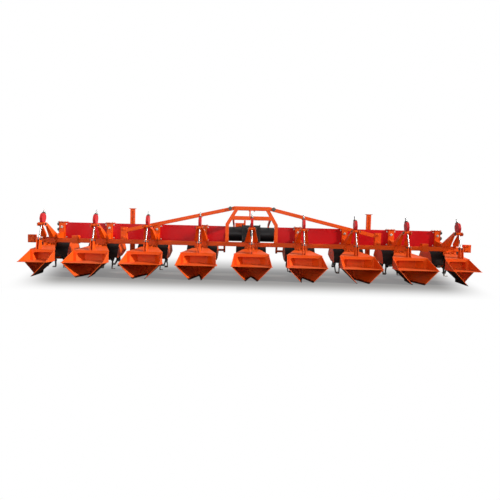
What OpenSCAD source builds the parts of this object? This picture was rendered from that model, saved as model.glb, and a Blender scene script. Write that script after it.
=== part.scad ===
// Mounted rotary inter-row cultivator: nine driven, spring-loaded ridging units on one frame.
// X runs along the row of units, +Y is the tractor side, Z is up, and the floor is Z = 0.
// Y is counted from the rear corners of the ridging bodies, and shift_y centres the whole on it.

/* [Row of units] */
// Number of working units along the frame
units = 9; // [3:2:11]
// Spacing of the units
pitch = 750; // [700:5:900]

/* [Frame] */
// Outside size of the square rear toolbar
bar_size = 64; // [60:1:76]
// Wall of the toolbar
bar_wall = 8; // [5:1:10]
// Reach of the toolbar past the centre of the outer unit
bar_overhang = 320; // [250:1:400]
// Toolbar centre, forward of the rear corners
bar_y = 720; // [710:1:735]
// Toolbar centre above the floor
bar_z = 466; // [462:1:474]
// Outside size of the square front beam
beam_size = 100; // [90:1:120]
// Wall of the front beam
beam_wall = 8; // [5:1:12]
// Front beam centre above the floor
beam_z = 620; // [600:1:640]
// Width of the stop blocks clamped on the toolbar
block_w = 90; // [60:1:120]
// Height that a stop block stands above the toolbar
block_rise = 43; // [20:1:60]
// Thickness of the arms that carry the toolbar
arm_w = 60; // [30:1:80]

/* [Drive] */
// Width of a chain case
case_w = 90; // [70:1:110]
// Rear face of the chain case heads
case_y = 1083; // [1070:1:1100]
// Depth of the chain case heads
case_d = 117; // [110:1:130]
// Underside of the chain case heads
case_bottom = 490; // [485:1:520]
// Top of the chain case heads
case_top = 740; // [720:1:780]
// Radius of the chain case round the rotor shaft
case_foot_r = 75; // [60:1:90]
// Line shaft above the floor
line_z = 600; // [590:1:620]
// Radius of the line shaft journals
journal_r = 24; // [20:0.5:28]
// Radius over the corners of the hexagon line shaft
hex_r = 22.5; // [18:0.5:24]
// Half width of the central gearbox
gearbox_half = 170; // [140:1:200]
// Underside of the gearbox
gearbox_bottom = 450; // [448:1:460]
// Top of the gearbox
gearbox_top = 760; // [740:1:790]
// Input shaft above the floor
input_z = 490; // [485:1:500]
// Radius of the splined end of the input shaft
input_r = 17.4; // [14:0.1:18]
// Radius of the input shaft in its bearings
input_journal_r = 22; // [20:0.5:26]
// Length of the black shields beside the gearbox
shield_len = 200; // [150:1:220]

/* [Rotors] */
// Rotor shaft, forward of the rear corners
rotor_y = 1000; // [995:1:1010]
// Rotor shaft above the floor
rotor_z = 235; // [232:1:245]
// Radius to the tips of the tines
tip_r = 215; // [180:1:218]
// Radius of the rotor shaft
rotor_shaft_r = 30; // [24:0.5:36]
// Half width of a rotor
rotor_half = 200; // [180:1:210]
// Radius of the tine discs
disc_r = 95; // [80:1:120]
// Thickness of the tine discs
disc_t = 12; // [8:1:16]
// Thickness of a tine
tine_t = 10; // [6:1:14]
// Radial room between tine tips and hood
tip_room = 17; // [12:1:25]
// Sheet thickness of hoods and guards
sheet_t = 5; // [3:0.5:8]
// Half width of a rotor hood
rotor_hood_half = 225; // [215:1:240]

/* [Ridging bodies] */
// Half width over the rear corners of a wing
wing_half = 281; // [275:1:284]
// Half width over the rear corner on the outer side of the two end bodies
end_wing_half = 104; // [100:1:120]
// Half width of the hood roof on the outer side of the two end bodies
end_roof_half = 101; // [95:1:110]
// Half width that the outer side of an end body widens to in front
end_share_half = 220; // [180:1:240]
// Depth at which the outer mouldboard of an end body is cut off
end_cut_y = 300; // [250:1:320]
// Half width of the share at the floor
share_half = 84; // [60:1:110]
// Height of the mouldboards
deck_z = 190; // [160:1:210]
// Reach of the share's nose
nose_y = 490; // [440:1:520]
// Overhang of the deck past the mouldboards
deck_lip = 14; // [8:1:60]
// Plate thickness of the mouldboards
share_t = 8; // [5:0.5:12]
// Plate thickness of the hoods
hood_t = 6; // [4:0.5:8]
// Rear edge of the hood roof
roof_y = 310; // [290:1:330]
// Half width of the hood roof at its rear edge
roof_half = 255; // [245:1:256]
// Top of the hood roof at its rear edge
roof_z = 345; // [338:1:350]
// Front edge of the hood roof
roof_front_y = 600; // [590:1:610]
// Rise of the hood roof from rear to front
roof_rise = 55; // [48:1:56]
// Half width of the hood roof at its front edge
roof_front_half = 120; // [100:1:150]
// Width of the frame beside the opening of a hood
frame_side = 44; // [35:1:50]
// Height of the frame above the opening of a hood
frame_top = 34; // [25:1:45]
// Corner radius of the opening of a hood
frame_corner = 36; // [20:1:40]

/* [Towers and pressure rods] */
// Width over the tower feet
tower_foot_w = 196; // [186:1:210]
// Width over the top of a tower
tower_top_w = 84; // [78:1:92]
// Height of a tower above the toolbar clamp
tower_h = 214; // [210:1:225]
// Rear edge of a tower at its clamp
tower_rear_y = 615; // [600:1:630]
// Rear edge of a tower at its top
tower_top_y = 474; // [472:1:485]
// Thickness of the tower plates
tower_t = 8; // [6:1:10]
// Thickness of the toolbar clamps
clamp_t = 12; // [8:1:16]
// Radius of the pressure rods
rod_r = 10; // [8:0.5:12]
// Tip of the pressure rods above the floor
rod_top = 918; // [880:1:930]
// Length of a spring cap along its rod
cap_len = 142; // [125:1:155]
// Fore-and-aft width of a spring cap
cap_d = 112; // [90:1:130]
// Thickness of a spring cap
cap_w = 38; // [30:1:44]

/* [Headstock] */
// Spacing of the headstock uprights, centre to centre
upright_gap = 736; // [700:1:760]
// Width of an upright
upright_w = 50; // [40:1:60]
// Height at which the uprights bend inward
bend_z = 762; // [740:1:800]
// Top of the headstock
head_top = 1035; // [1000:1:1060]
// Half length of the top bar
top_half = 270; // [260:1:290]
// Height of the headstock bars
head_bar_h = 60; // [50:1:70]
// Depth of the headstock members
head_d = 60; // [50:1:70]
// Underside of the second crossbar
cross_z = 831; // [815:1:850]
// Inner face of the brace feet
foot_x = 1862; // [1800:1:1900]
// Width of a brace foot
foot_w = 90; // [70:1:110]
// Height of a brace foot
foot_h = 188; // [170:1:200]

/* [Hitch] */
// Spread between the lower link brackets
hitch_gap = 840; // [800:1:900]
// Thickness of a lower link bracket
hitch_t = 30; // [20:1:40]
// Radius of the lower link pins
hitch_pin_r = 18.3; // [14:0.1:20]
// Length of the lower link pins
hitch_pin_len = 95; // [80:1:120]
// Lower link pins above the floor
hitch_z = 340; // [320:1:360]
// Radius of the top link bore
top_bore_r = 16.1; // [12:0.1:18]
// Reach of the top link bore in front of the headstock
top_reach = 110; // [90:1:140]
// Gap between the top link plates
top_gap = 60; // [50:1:70]
// Thickness of a top link plate
top_t = 16; // [12:1:20]

/* [Parking stands] */
// Stand posts from the middle
stand_x = 1950; // [1930:1:1960]
// Width of a stand post
stand_w = 76; // [60:1:84]
// Thickness of a stand post
stand_d = 30; // [24:1:40]
// Top of the stand posts when lowered
stand_top = 985; // [950:1:1000]
// Width of a stand foot
stand_foot = 160; // [120:1:200]
// Travel of the stands, from one lock hole to the next
stand_travel = 350; // [200:1:400]

/* [Clearances] */
// Running clearance on the radius of shafts
run_fit = 0.05; // [0.02:0.01:0.1]
// Sliding clearance of the stand posts in their sleeves
slide_fit = 0.6; // [0.3:0.1:0.9]
// Gap between the bearing bosses of the gearbox and the shields round them
shield_gap = 2.5; // [2:0.5:4]
// Gap under pieces that stand on the sloping roofs
seat_gap = 0.2; // [0.1:0.1:0.5]

/* [Hidden] */
$fn = 48;

middle = (units - 1) / 2;
row_half = middle * pitch;
bar_half = row_half + bar_overhang;
bar_top = bar_z + bar_size / 2;
bar_rear = bar_y - bar_size / 2;
beam_rear = case_y + case_d;
beam_y = beam_rear + beam_size / 2;
beam_front = beam_rear + beam_size;
beam_top = beam_z + beam_size / 2;
beam_half = row_half + case_w / 2 + 20;
line_y = case_y + case_d / 2;
hitch_y = beam_front + 90;
hitch_eye_r = 40;
depth = hitch_y + hitch_eye_r;
shift_y = -depth / 2;
hood_in_r = tip_r + tip_room;
hood_out_r = hood_in_r + sheet_t;
clamp_top = bar_top + clamp_t;
clamp_front = bar_y + bar_size / 2 + clamp_t;
shield_r = case_d;
shield_z = (case_top + case_bottom) / 2;
boss_r = shield_r - sheet_t - norm([beam_rear - line_y, shield_z - line_z]) - shield_gap;
rib_x = gearbox_half - 30;
rib_t = 14;
trunk_half = gearbox_half + 40;

// Orange main paint, red guards, black drive parts and bright steel
orange = [0.92, 0.30, 0.08];
red = [0.80, 0.05, 0.05];
black = [0.08, 0.08, 0.09];
steel = [0.75, 0.76, 0.78];

function unit_x(i) = (i - middle) * pitch;
function mix(a, b, t) = a + (b - a) * t;

module placed() { translate([0, shift_y, 0]) children(); }
module each_unit() { for (i = [0 : units - 1]) translate([unit_x(i), 0, 0]) children(); }
module both_sides() { children(); mirror([1, 0, 0]) children(); }

// A flat outline drawn in [y, z], given the thickness x0 to x1
module side_plate(x0, x1) {
    translate([x0, 0, 0]) rotate([90, 0, 90]) linear_extrude(x1 - x0) children();
}

// A flat outline drawn in [x, z], given the depth y0 to y1
module rear_plate(y0, y1) {
    translate([0, y1, 0]) rotate([90, 0, 0]) linear_extrude(y1 - y0) children();
}

module block(low, high) { translate(low) cube(high - low); }

// A round bar along X
module bar_x(x0, x1, r) { translate([x0, 0, 0]) rotate([0, 90, 0]) cylinder(h = x1 - x0, r = r); }

// Frame

module toolbar() {
    color(orange) placed() translate([-bar_half, bar_y, bar_z]) difference() {
        translate([0, -bar_size / 2, -bar_size / 2]) cube([2 * bar_half, bar_size, bar_size]);
        translate([-1, -bar_size / 2 + bar_wall, -bar_size / 2 + bar_wall])
            cube([2 * bar_half + 2, bar_size - 2 * bar_wall, bar_size - 2 * bar_wall]);
    }
}

module front_beam() {
    color(orange) placed() translate([-beam_half, beam_y, beam_z]) difference() {
        translate([0, -beam_size / 2, -beam_size / 2]) cube([2 * beam_half, beam_size, beam_size]);
        translate([-1, -beam_size / 2 + beam_wall, -beam_size / 2 + beam_wall])
            cube([2 * beam_half + 2, beam_size - 2 * beam_wall, beam_size - 2 * beam_wall]);
    }
}

// Square rings clamped on the toolbar: one at each end, one inside the second unit from each end
module bar_blocks() {
    block_xs = [bar_half - block_w, row_half - pitch / 2 - block_w / 2];
    color(orange) placed() both_sides() for (x = block_xs) difference() {
        block([x, bar_rear - clamp_t, bar_z - bar_size / 2 - clamp_t],
            [x + block_w, clamp_front, bar_top + block_rise]);
        block([x - 1, bar_rear, bar_z - bar_size / 2], [x + block_w + 1, bar_y + bar_size / 2, bar_top]);
    }
}

// Height of an arm at its chain case
arm_h = 90;

// Arms from the tower clamps forward to the chain case heads
module unit_arms() {
    arm_drop = 20;
    arm_low = bar_z - arm_drop;
    color(orange) placed() each_unit() side_plate(-arm_w / 2, arm_w / 2)
        polygon([[clamp_front, arm_low], [case_y, case_bottom], [case_y, case_bottom + arm_h],
            [clamp_front, clamp_top]]);
}

// Drive

// Point where the line from p touches the circle of radius r round c, on its left or right side
function touch(p, c, r, side) =
    let (d = norm(p - c), a = atan2(p[1] - c[1], p[0] - c[0]) + side * acos(r / d))
    c + r * [cos(a), sin(a)];

// Case outline: a square head that narrows to a round foot at the rotor shaft
module case_outline(top) {
    foot = [rotor_y, rotor_z];
    rear = [case_y, case_bottom];
    front = [beam_rear, case_bottom];
    polygon([rear, [case_y, top], [beam_rear, top], front,
        touch(front, foot, case_foot_r, -1), foot, touch(rear, foot, case_foot_r, 1)]);
    translate(foot) circle(case_foot_r);
}

module chain_cases() {
    color(orange) placed() for (i = [0 : units - 1]) translate([unit_x(i), 0, 0]) difference() {
        side_plate(-case_w / 2, case_w / 2) case_outline(case_top);
        if (i == middle) block([-case_w, case_y - 1, gearbox_bottom], [case_w, beam_rear + 1, case_top + 1]);
        translate([0, line_y, line_z]) bar_x(-case_w, case_w, journal_r + run_fit);
        translate([0, rotor_y, rotor_z]) bar_x(-case_w, case_w, rotor_shaft_r + run_fit);
    }
}

module case_caps() {
    side_lap = 15;
    end_lap = 10;
    cap_plate_w = case_w + 2 * side_lap;
    cap_plate_t = 8;
    color(orange) placed() for (i = [0 : units - 1]) if (i != middle) translate([unit_x(i), 0, 0])
        block([-cap_plate_w / 2, case_y - end_lap, case_top],
            [cap_plate_w / 2, beam_rear + end_lap, case_top + cap_plate_t]);
}

// Folded red sheets over the line shaft, from case to case
module guards() {
    guard_low = case_bottom - 8;
    guard_top = case_top - 2;
    guard_rear = case_y + 24;
    lip = 25;
    shield_end = gearbox_half + shield_len;
    color(red) placed() for (i = [0 : units - 2]) {
        x0 = i == middle ? shield_end : unit_x(i) + case_w / 2;
        x1 = i == middle - 1 ? -shield_end : unit_x(i + 1) - case_w / 2;
        side_plate(x0, x1) difference() {
            translate([guard_rear, guard_low]) square([beam_rear - guard_rear, guard_top - guard_low]);
            translate([guard_rear + sheet_t, guard_low + sheet_t])
                square([case_d, guard_top - guard_low - 2 * sheet_t]);
            translate([guard_rear + lip, guard_low - 1]) square([case_d, 2 * sheet_t]);
        }
    }
}

// Length of the gearbox neck round the input shaft, and how deep the shaft reaches behind it
neck_len = 125;
input_depth = 50;

// Cast housing with bearing bosses, ribs, a cover plate and a filler neck
module gearbox() {
    neck_r = 50;
    edge = 40;
    trunk_r = boss_r - 5;
    rib_out = 12;
    cover = [150, 110];
    cover_low = case_bottom + arm_h + 8;
    cover_t = 9;
    filler_r = 18;
    filler_h = 28;
    color(black) placed() difference() {
        union() {
            side_plate(-rib_x, rib_x) gearbox_outline(edge, 0);
            for (x = [-rib_x, rib_x]) side_plate(x - rib_t / 2, x + rib_t / 2) gearbox_outline(edge, rib_out);
            rear_plate(case_y - cover_t, case_y + 1) translate([-cover[0] / 2, cover_low]) square(cover);
            translate([0, line_y, line_z]) {
                bar_x(-gearbox_half, gearbox_half, boss_r);
                bar_x(-trunk_half, trunk_half, trunk_r);
            }
            translate([0, line_y, gearbox_top - 1]) cylinder(h = filler_h, r = filler_r);
            translate([0, beam_rear + neck_len, input_z]) rotate([90, 0, 0]) cylinder(h = neck_len + 1, r = neck_r);
        }
        translate([0, line_y, line_z]) bar_x(-trunk_half - 1, trunk_half + 1, journal_r + run_fit);
        translate([0, beam_rear + neck_len + 1, input_z]) rotate([90, 0, 0])
            cylinder(h = neck_len + input_depth + 10, r = input_journal_r + run_fit);
    }
}

// Outline of the gearbox with cut corners; out moves its rear and top edges outward
module gearbox_outline(edge, out) {
    polygon([[case_y - out, gearbox_bottom + edge], [case_y - out, gearbox_top - edge],
        [case_y + edge - out, gearbox_top + out], [beam_rear, gearbox_top + out], [beam_rear, gearbox_bottom],
        [case_y + edge, gearbox_bottom]]);
}

// Half-round black covers over the line shaft beside the gearbox
module shaft_shields() {
    color(black) placed() both_sides() side_plate(rib_x + rib_t / 2, gearbox_half + shield_len) difference() {
        translate([beam_rear, shield_z]) circle(shield_r);
        translate([beam_rear, shield_z]) circle(shield_r - sheet_t);
        translate([beam_rear, 0]) square([shield_r + 1, gearbox_top * 2]);
    }
}

module pto_guard() {
    guard_r = 85;
    guard_len = 80;
    shaft_room = 8;
    color(black) placed() translate([0, beam_rear + neck_len, input_z]) rotate([-90, 0, 0]) difference() {
        cylinder(h = guard_len, r = guard_r);
        translate([0, 0, sheet_t]) cylinder(h = guard_len, r = guard_r - sheet_t);
        translate([0, 0, -1]) cylinder(h = guard_len, r = input_journal_r + shaft_room);
    }
}

module line_shaft() {
    end_out = 30;
    shaft_half = row_half + case_w / 2 + end_out;
    color(steel) placed() translate([0, line_y, line_z]) union() {
        bar_x(-shaft_half, shaft_half, hex_r, $fn = 6);
        for (i = [0 : units - 1]) if (i != middle)
            translate([unit_x(i), 0, 0]) bar_x(-case_w / 2, case_w / 2, journal_r);
        bar_x(-trunk_half, trunk_half, journal_r);
    }
}

module input_shaft() {
    collar = 15;
    stub = 80;
    color(steel) placed() translate([0, beam_rear + neck_len + collar, input_z]) rotate([90, 0, 0]) union() {
        cylinder(h = collar + neck_len + input_depth, r = input_journal_r);
        translate([0, 0, -stub]) cylinder(h = stub + 1, r = input_r);
    }
}

// Headstock

// Centre of the leaning part of the right upright at height z
bend_run = upright_gap / 2 - (top_half - upright_w / 2 - 4);
bend_rise = head_top - head_bar_h - bend_z;
bend = atan2(bend_run, bend_rise);
lean_half = upright_w / 2 / cos(bend);
function lean_x(z) = upright_gap / 2 - bend_run * (z - bend_z) / bend_rise;

// Inner face of the cranked stays, against the leaning uprights
strut_top = cross_z + head_bar_h;
strut_x = lean_x(strut_top) - lean_half + 6;

module headstock_uprights() {
    mitre = upright_w / 2 * tan(bend / 2);
    top = head_top - head_bar_h;
    x0 = upright_gap / 2;
    color(orange) placed() both_sides() rear_plate(bar_y - head_d / 2, bar_y + head_d / 2)
        polygon([[x0 - upright_w / 2, bar_top], [x0 + upright_w / 2, bar_top],
            [x0 + upright_w / 2, bend_z + mitre], [lean_x(top) + lean_half, top],
            [lean_x(top) - lean_half, top], [x0 - upright_w / 2, bend_z - mitre]]);
}

module headstock_bars() {
    stay_x = -40;
    stay_w = 20;
    cross_top = cross_z + head_bar_h;
    color(orange) placed() rear_plate(bar_y - head_d / 2, bar_y + head_d / 2) {
        translate([-top_half, head_top - head_bar_h]) square([2 * top_half, head_bar_h]);
        polygon([[lean_half - lean_x(cross_z), cross_z], [lean_x(cross_z) - lean_half, cross_z],
            [lean_x(cross_top) - lean_half, cross_top], [lean_half - lean_x(cross_top), cross_top]]);
        translate([stay_x, cross_top]) square([stay_w, head_top - head_bar_h - cross_top]);
    }
}

// Cranked flat stays from the leaning uprights down to the front beam
module headstock_struts() {
    strut_t = 25;
    strut_h = 60;
    knee_z = case_top + 10;
    front = bar_y + head_d / 2;
    leg = 15;
    color(orange) placed() both_sides() side_plate(strut_x, strut_x + strut_t)
        polygon([[front, strut_top - strut_h], [front, strut_top], [beam_front - leg, knee_z + strut_h / 2],
            [beam_front - leg, beam_top], [beam_rear + leg, beam_top], [beam_rear + leg, knee_z]]);
}

// Sloping braces from the ends of the top bar to the brace feet
module braces() {
    inset = 3;
    side_inset = 5;
    foot_drop = 20;
    brace_h = head_bar_h - 2 * inset;
    foot_end = bar_top + foot_h - foot_drop;
    color(orange) placed() both_sides() rear_plate(bar_y - head_d / 2 + side_inset, bar_y + head_d / 2 - side_inset)
        polygon([[top_half, head_top - inset - brace_h], [top_half, head_top - inset], [foot_x, foot_end],
            [foot_x, foot_end - brace_h]]);
}

module brace_feet() {
    color(orange) placed() both_sides() block([foot_x, bar_y - head_d / 2, bar_top],
        [foot_x + foot_w, bar_y + head_d / 2, bar_top + foot_h]);
}

module top_link_plates() {
    eye = [bar_y + head_d / 2 + top_reach, head_top - head_bar_h / 2];
    eye_r = 38;
    color(orange) placed() both_sides() difference() {
        side_plate(top_gap / 2, top_gap / 2 + top_t) {
            translate([bar_y + head_d / 2, eye[1] - head_bar_h / 2]) square([top_reach, head_bar_h]);
            translate(eye) circle(eye_r);
        }
        translate([0, eye[0], eye[1]]) bar_x(0, top_gap, top_bore_r);
    }
}

// Cranked plates on the front beam, each with a pin that points outward
module lower_link_brackets() {
    eye = [hitch_y, hitch_z];
    x1 = hitch_gap / 2 + hitch_t;
    beam_bottom = beam_z - beam_size / 2;
    upper = [beam_front, beam_top];
    lower = [beam_front, beam_bottom];
    color(orange) placed() both_sides() union() {
        side_plate(hitch_gap / 2, x1) {
            polygon([lower, upper, touch(upper, eye, hitch_eye_r, -1), eye, touch(lower, eye, hitch_eye_r, 1)]);
            translate(eye) circle(hitch_eye_r);
        }
        translate([0, hitch_y, hitch_z]) bar_x(x1 - 1, x1 + hitch_pin_len, hitch_pin_r);
    }
}

// Small box beside the left stay, with a square post at its inner end
module tool_box() {
    stay_gap = 10;
    box_size = [140, beam_size - 20, 125];
    post_size = [30, 30, 170];
    color(orange) placed() translate([stay_gap - strut_x, beam_y, beam_top]) union() {
        translate([0, -box_size[1] / 2, 0]) cube(box_size);
        translate([box_size[0] - 1, -post_size[1] / 2, 0]) cube(post_size);
    }
}

// Towers and pressure rods

rod_foot = [369, 488];
trunnion = [450, 700];
rod_angle = atan2(trunnion[0] - rod_foot[0], trunnion[1] - rod_foot[1]);
trunnion_r = 22;
trunnion_pin_r = 14;
tower_lean = atan2((tower_foot_w - tower_top_w) / 2, tower_h);
clamp_bottom = bar_z - bar_size / 2 - clamp_t;
hinge_r = 22;
hinge_pin_r = 12;
hinge = [bar_rear - 25, clamp_bottom - 18];
lug_x = 50;
lug_t = 12;

// Draws along the pressure rod: Z runs up the rod from the pivot at its foot or at its trunnion
module along_rod(p) { translate([0, p[0], p[1]]) rotate([-rod_angle, 0, 0]) children(); }

// Square rings round the toolbar, with two legs beside the hinge lugs
module tower_clamps() {
    leg_len = 57;
    leg_low = clamp_bottom - leg_len;
    leg_edge = 12;
    leg_in = lug_x + lug_t + seat_gap;
    leg_out = tower_foot_w / 2;
    color(orange) placed() each_unit() union() {
        difference() {
            block([-leg_out, bar_rear - clamp_t, clamp_bottom], [leg_out, clamp_front, clamp_top]);
            block([-tower_foot_w, bar_rear, bar_z - bar_size / 2], [tower_foot_w, bar_y + bar_size / 2, bar_top]);
        }
        both_sides() rear_plate(bar_rear - clamp_t, bar_rear)
            polygon([[leg_in, clamp_bottom + 1], [leg_in, leg_low + leg_edge], [leg_in + leg_edge, leg_low],
                [leg_out - leg_edge, leg_low], [leg_out, leg_low + leg_edge], [leg_out, clamp_bottom + 1]]);
    }
}

// Each half of a tower: a leaning three-cornered side plate and a slanted rear face beside the slot for the rod
module tower_plates() {
    slot = cap_w + 8;
    sink = 10;
    slant = atan2(tower_rear_y - tower_top_y, tower_h);
    face_len = tower_h / cos(slant);
    up = tower_h / cos(tower_lean);
    nose = trunnion_pin_r + 12;
    knee = 0.75;
    top_w = 40;
    heel_h = 32;
    heel_cut = 30;
    color(orange) placed() each_unit() both_sides() difference() {
        union() {
            translate([tower_foot_w / 2, 0, clamp_top]) rotate([0, -tower_lean, 0]) side_plate(-tower_t, 0)
                polygon([[tower_rear_y, -sink], [tower_rear_y, 0], [mix(tower_rear_y, tower_top_y, knee), up * knee],
                    [trunnion[0] - nose, up - 2 * nose], [trunnion[0] - nose, up], [tower_top_y + top_w, up],
                    [clamp_front - heel_cut, heel_h + heel_cut], [clamp_front, heel_h], [clamp_front, -sink]]);
            translate([0, tower_rear_y, clamp_top]) rotate([slant, 0, 0]) rear_plate(0, tower_t)
                polygon([[slot / 2, -sink], [tower_foot_w / 2, -sink], [tower_foot_w / 2, 0],
                    [tower_top_w / 2, face_len], [slot / 2, face_len]]);
        }
        block([-tower_foot_w, 0, clamp_top - 100], [tower_foot_w, clamp_front + 10, clamp_top]);
        translate([0, trunnion[0], trunnion[1]]) bar_x(0, tower_foot_w, trunnion_pin_r + run_fit);
    }
}

module trunnions() {
    pin_half = tower_foot_w / 2 - (trunnion[1] - clamp_top) * tan(tower_lean) + 3;
    color(steel) placed() each_unit() difference() {
        translate([0, trunnion[0], trunnion[1]]) union() {
            bar_x(-20, 20, trunnion_r);
            bar_x(-pin_half, pin_half, trunnion_pin_r);
        }
        along_rod(trunnion) cylinder(h = 80, r = rod_r + run_fit, center = true);
    }
}

eye_r = 18;
eye_half = 12;
eye_pin_r = 8;

module pressure_rods() {
    rod_len = (rod_top - rod_foot[1]) / cos(rod_angle);
    color(steel) placed() each_unit() difference() {
        union() {
            translate([0, rod_foot[0], rod_foot[1]]) bar_x(-eye_half, eye_half, eye_r);
            along_rod(rod_foot) cylinder(h = rod_len, r = rod_r);
        }
        translate([0, rod_foot[0], rod_foot[1]]) bar_x(-eye_half - 1, eye_half + 1, eye_pin_r + run_fit);
    }
}

module spring_caps() {
    shoulder = cap_d / 2;
    taper = 40;
    cap_seat = 0.3;
    color(red) placed() each_unit() along_rod(trunnion) translate([0, 0, trunnion_r + cap_seat]) difference() {
        side_plate(-cap_w / 2, cap_w / 2) {
            polygon([[-cap_d / 4, 0], [cap_d / 4, 0], [cap_d / 2, taper], [cap_d / 2, cap_len - shoulder],
                [-cap_d / 2, cap_len - shoulder], [-cap_d / 2, taper]]);
            translate([0, cap_len - shoulder]) circle(shoulder);
        }
        translate([0, 0, -1]) cylinder(h = cap_len + 2, r = rod_r + run_fit);
    }
}

// Roof height over the floor at depth y, on the upper face
roof_slope = atan2(roof_rise, roof_front_y - roof_y);
function roof_at(y) = roof_z + hood_t * (1 / cos(roof_slope) - 1) + (y - roof_y) * tan(roof_slope);

// Tall forks on the roofs that hold the lower eyes of the rods
module rod_clevises() {
    ear_t = 10;
    ear_r = 24;
    spread = 46;
    pin_out = 4;
    x0 = eye_half + 1;
    pin_half = x0 + ear_t + pin_out;
    rear = rod_foot[0] - spread;
    front = rod_foot[0] + spread;
    color(orange) placed() each_unit() union() {
        both_sides() side_plate(x0, x0 + ear_t) {
            polygon([[rear, roof_at(rear) + seat_gap], [front, roof_at(front) + seat_gap],
                [rod_foot[0] + ear_r, rod_foot[1]], [rod_foot[0] - ear_r, rod_foot[1]]]);
            translate(rod_foot) circle(ear_r);
        }
        translate([0, rod_foot[0], rod_foot[1]]) bar_x(-pin_half, pin_half, eye_pin_r);
    }
}

// Pins under the toolbar that the hoods hang on, held by lugs below the clamps
module hood_hinges() {
    color(orange) placed() each_unit() union() {
        both_sides() side_plate(lug_x, lug_x + lug_t) {
            polygon([[hinge[0] - hinge_r, hinge[1]], [hinge[0] + hinge_r, hinge[1]], [bar_y, clamp_bottom],
                [bar_rear - clamp_t, clamp_bottom]]);
            translate(hinge) circle(hinge_r);
        }
        translate([0, hinge[0], hinge[1]]) bar_x(-lug_x - lug_t, lug_x + lug_t, hinge_pin_r);
    }
}

// Ridging bodies

recess_y = 420;
recess_front_half = 130;
hood_bottom = deck_z + hood_t;
frame_inset = 7;
ear_x = 25;
ear_t = 12;

// True on the outer side, left 0 or right 1, of an end body
function outer(i, side) = i == (side == 0 ? 0 : units - 1);
function roof_half_of(i, side) = outer(i, side) ? end_roof_half : roof_half;
function wing_half_of(i, side) = outer(i, side) ? end_wing_half : wing_half;

// Boat-shaped hoods with a framed opening to the rear, under a sloping roof with hinge ears
module ridger_hoods() {
    ear_rear = roof_front_y - 90;
    color(orange) placed() for (i = [0 : units - 1]) translate([unit_x(i), 0, 0]) difference() {
        union() {
            for (side = [0, 1]) mirror([1 - side, 0, 0]) hood_half(roof_half_of(i, side));
            both_sides() side_plate(ear_x, ear_x + ear_t) {
                polygon([[ear_rear, roof_at(ear_rear) - 1], [roof_front_y, roof_at(roof_front_y) - 3],
                    [hinge[0], hinge[1] - hinge_r], [hinge[0], hinge[1] + hinge_r]]);
                translate(hinge) circle(hinge_r);
            }
        }
        translate([0, hinge[0], hinge[1]]) bar_x(-lug_x - 10, lug_x + 10, hinge_pin_r + run_fit);
    }
}

// One half of a hood: roof, frame with a round-cornered opening, and the wall behind the opening
module hood_half(half) {
    lap = 1;
    share = half / roof_half;
    roof_len = (roof_front_y - roof_y) / cos(roof_slope);
    frame_half = half - frame_inset;
    open_half = frame_half - frame_side;
    open_top = roof_z - hood_t - frame_top;
    wall_half = open_half + hood_t;
    wall_front = recess_front_half * share;
    wall_y = roof_y + hood_t - lap;
    translate([0, roof_y, roof_z - hood_t]) rotate([roof_slope, 0, 0]) linear_extrude(hood_t)
        polygon([[-lap, 0], [half, 0], [roof_front_half * share, roof_len], [-lap, roof_len]]);
    rear_plate(roof_y, roof_y + hood_t) difference() {
        translate([-lap, hood_bottom]) square([frame_half + lap, roof_z - hood_t / 2 - hood_bottom]);
        translate([-2 * lap, 0]) square([open_half - frame_corner + 2 * lap, open_top]);
        translate([-2 * lap, 0]) square([open_half + 2 * lap, open_top - frame_corner]);
        translate([open_half - frame_corner, open_top - frame_corner]) circle(frame_corner);
    }
    difference() {
        translate([0, 0, hood_bottom]) linear_extrude(roof_z + roof_rise - hood_bottom)
            polygon([[-lap, recess_y], [wall_front, recess_y], [wall_half, wall_y], [wall_half - hood_t, wall_y],
                [wall_front - hood_t, recess_y - hood_t], [-lap, recess_y - hood_t]]);
        translate([0, roof_y, roof_z - hood_t / 2]) rotate([roof_slope, 0, 0])
            translate([-roof_half, -roof_half, 0]) cube(2 * roof_half);
    }
}

// Three-cornered wing plates from the rear corners of the deck up to the rear corners of the hood
module wing_plates() {
    color(orange) placed() for (i = [0 : units - 1]) translate([unit_x(i), 0, 0]) for (side = [0, 1])
        mirror([1 - side, 0, 0]) wing_plate(wing_half_of(i, side) - hood_t, roof_half_of(i, side) - frame_inset);
}

// tip_x and root_x are the places of the plate's outer face at its rear tip and at the hood's frame
module wing_plate(tip_x, root_x) {
    tip_y = 4;
    turn = atan2(tip_x - root_x, roof_y - tip_y);
    translate([root_x, roof_y, 0]) rotate([0, 0, turn]) side_plate(-hood_t, 0)
        polygon([[0, hood_bottom], [0, roof_z - hood_t], [(tip_y - roof_y) / cos(turn), hood_bottom]]);
}

// Plan outline of the mouldboards: s runs from 0 at the nose to 1 at the rear corner
bow = 5;
bow_steps = 8;
function bow_x(s, half, power) = half * (1 - pow(1 - s, power));
function side_of(k) = k < 0 ? 0 : 1;
// Place along the outline of column k, which stops short on the outer side of the end bodies
function along(i, k) = abs(k) / bow_steps * (outer(i, side_of(k)) ? 1 - end_cut_y / nose_y : 1);
function share_half_of(i, k) = outer(i, side_of(k)) ? end_share_half : wing_half;

// Deck plates over the mouldboards, drawn back to both rear corners
module ridger_decks() {
    color(orange) placed() for (i = [0 : units - 1]) translate([unit_x(i), 0, deck_z]) linear_extrude(hood_t)
        polygon(concat([for (k = [-bow_steps : bow_steps])
            [sign(k) * bow_x(along(i, k), share_half_of(i, k), bow), nose_y * (1 - along(i, k))]],
            outer(i, 1) ? [[end_wing_half, 0]] : [], outer(i, 0) ? [[-end_wing_half, 0]] : []));
}

// One bent plate: two mouldboards that meet at the nose, wide at the deck and narrow at the floor
module mouldboards() {
    color(orange) placed() for (i = [0 : units - 1]) translate([unit_x(i), 0, 0]) mouldboard(i);
}

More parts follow.
